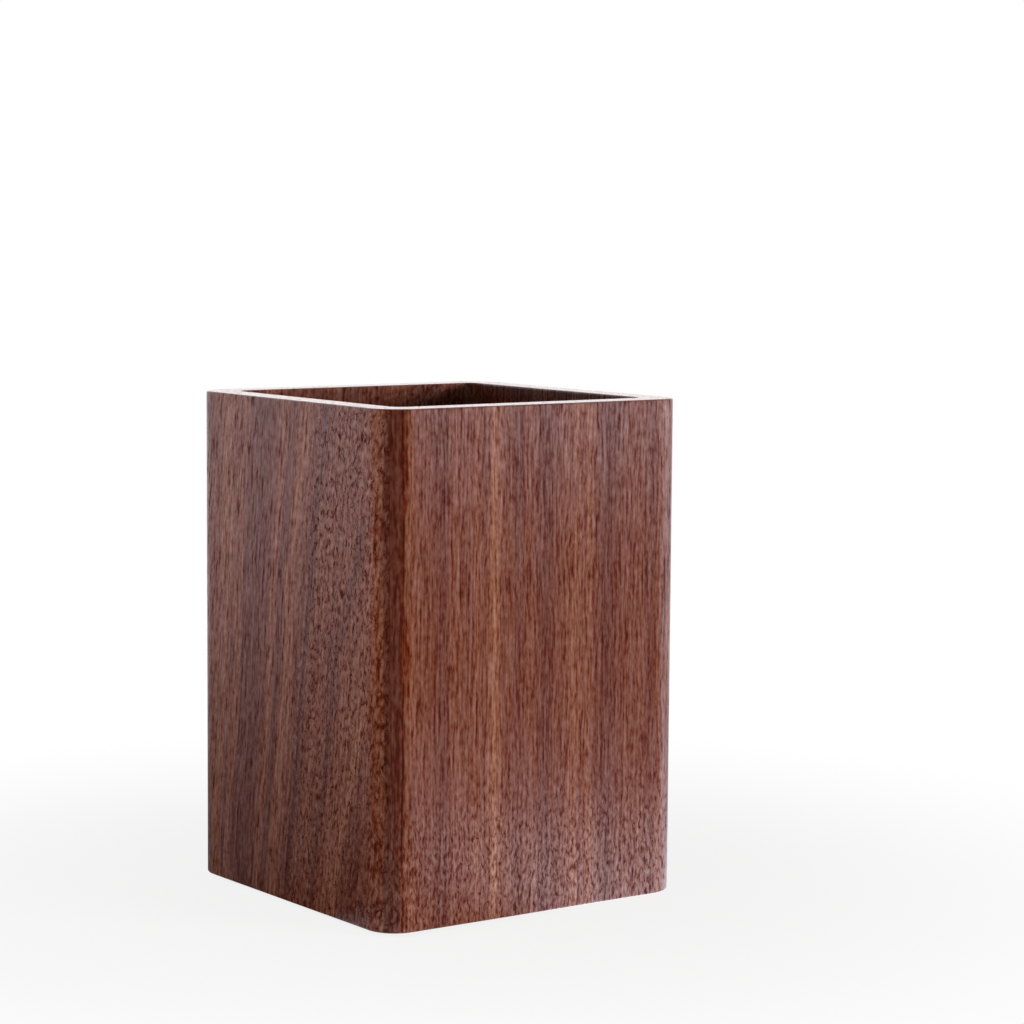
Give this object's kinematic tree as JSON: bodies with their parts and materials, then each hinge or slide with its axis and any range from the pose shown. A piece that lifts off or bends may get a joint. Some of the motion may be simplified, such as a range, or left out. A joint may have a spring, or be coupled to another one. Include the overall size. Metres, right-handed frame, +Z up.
{
  "type": "desk pen cup",
  "caption": "Square open-topped wooden pen cup with rounded mitred corners, a housed base board and felt feet, for keeping pens and small tools upright on a desk.",
  "frame": {"origin": "on the desk surface under the middle of the cup", "axes": "+Z up out of the mouth, +X to the right and -Y towards the front wall"},
  "size_m": [0.08, 0.08, 0.1128],
  "materials": {
    "walnut_walls": "satin oiled dark walnut, grain upright",
    "walnut_base": "satin oiled dark walnut, grain lying flat",
    "spline_wood": "plain unfinished hardwood",
    "felt": "dense dark felt"
  },
  "bodies": {
    "root": {"front_wall": "walnut_walls", "right_wall": "walnut_walls", "back_wall": "walnut_walls", "left_wall": "walnut_walls", "base_board": "walnut_base", "mitre_spline_front_left": "spline_wood", "mitre_spline_front_right": "spline_wood", "mitre_spline_back_left": "spline_wood", "mitre_spline_back_right": "spline_wood", "felt_foot_front_left": "felt", "felt_foot_front_right": "felt", "felt_foot_back_left": "felt", "felt_foot_back_right": "felt"}
  },
  "joints": []
}
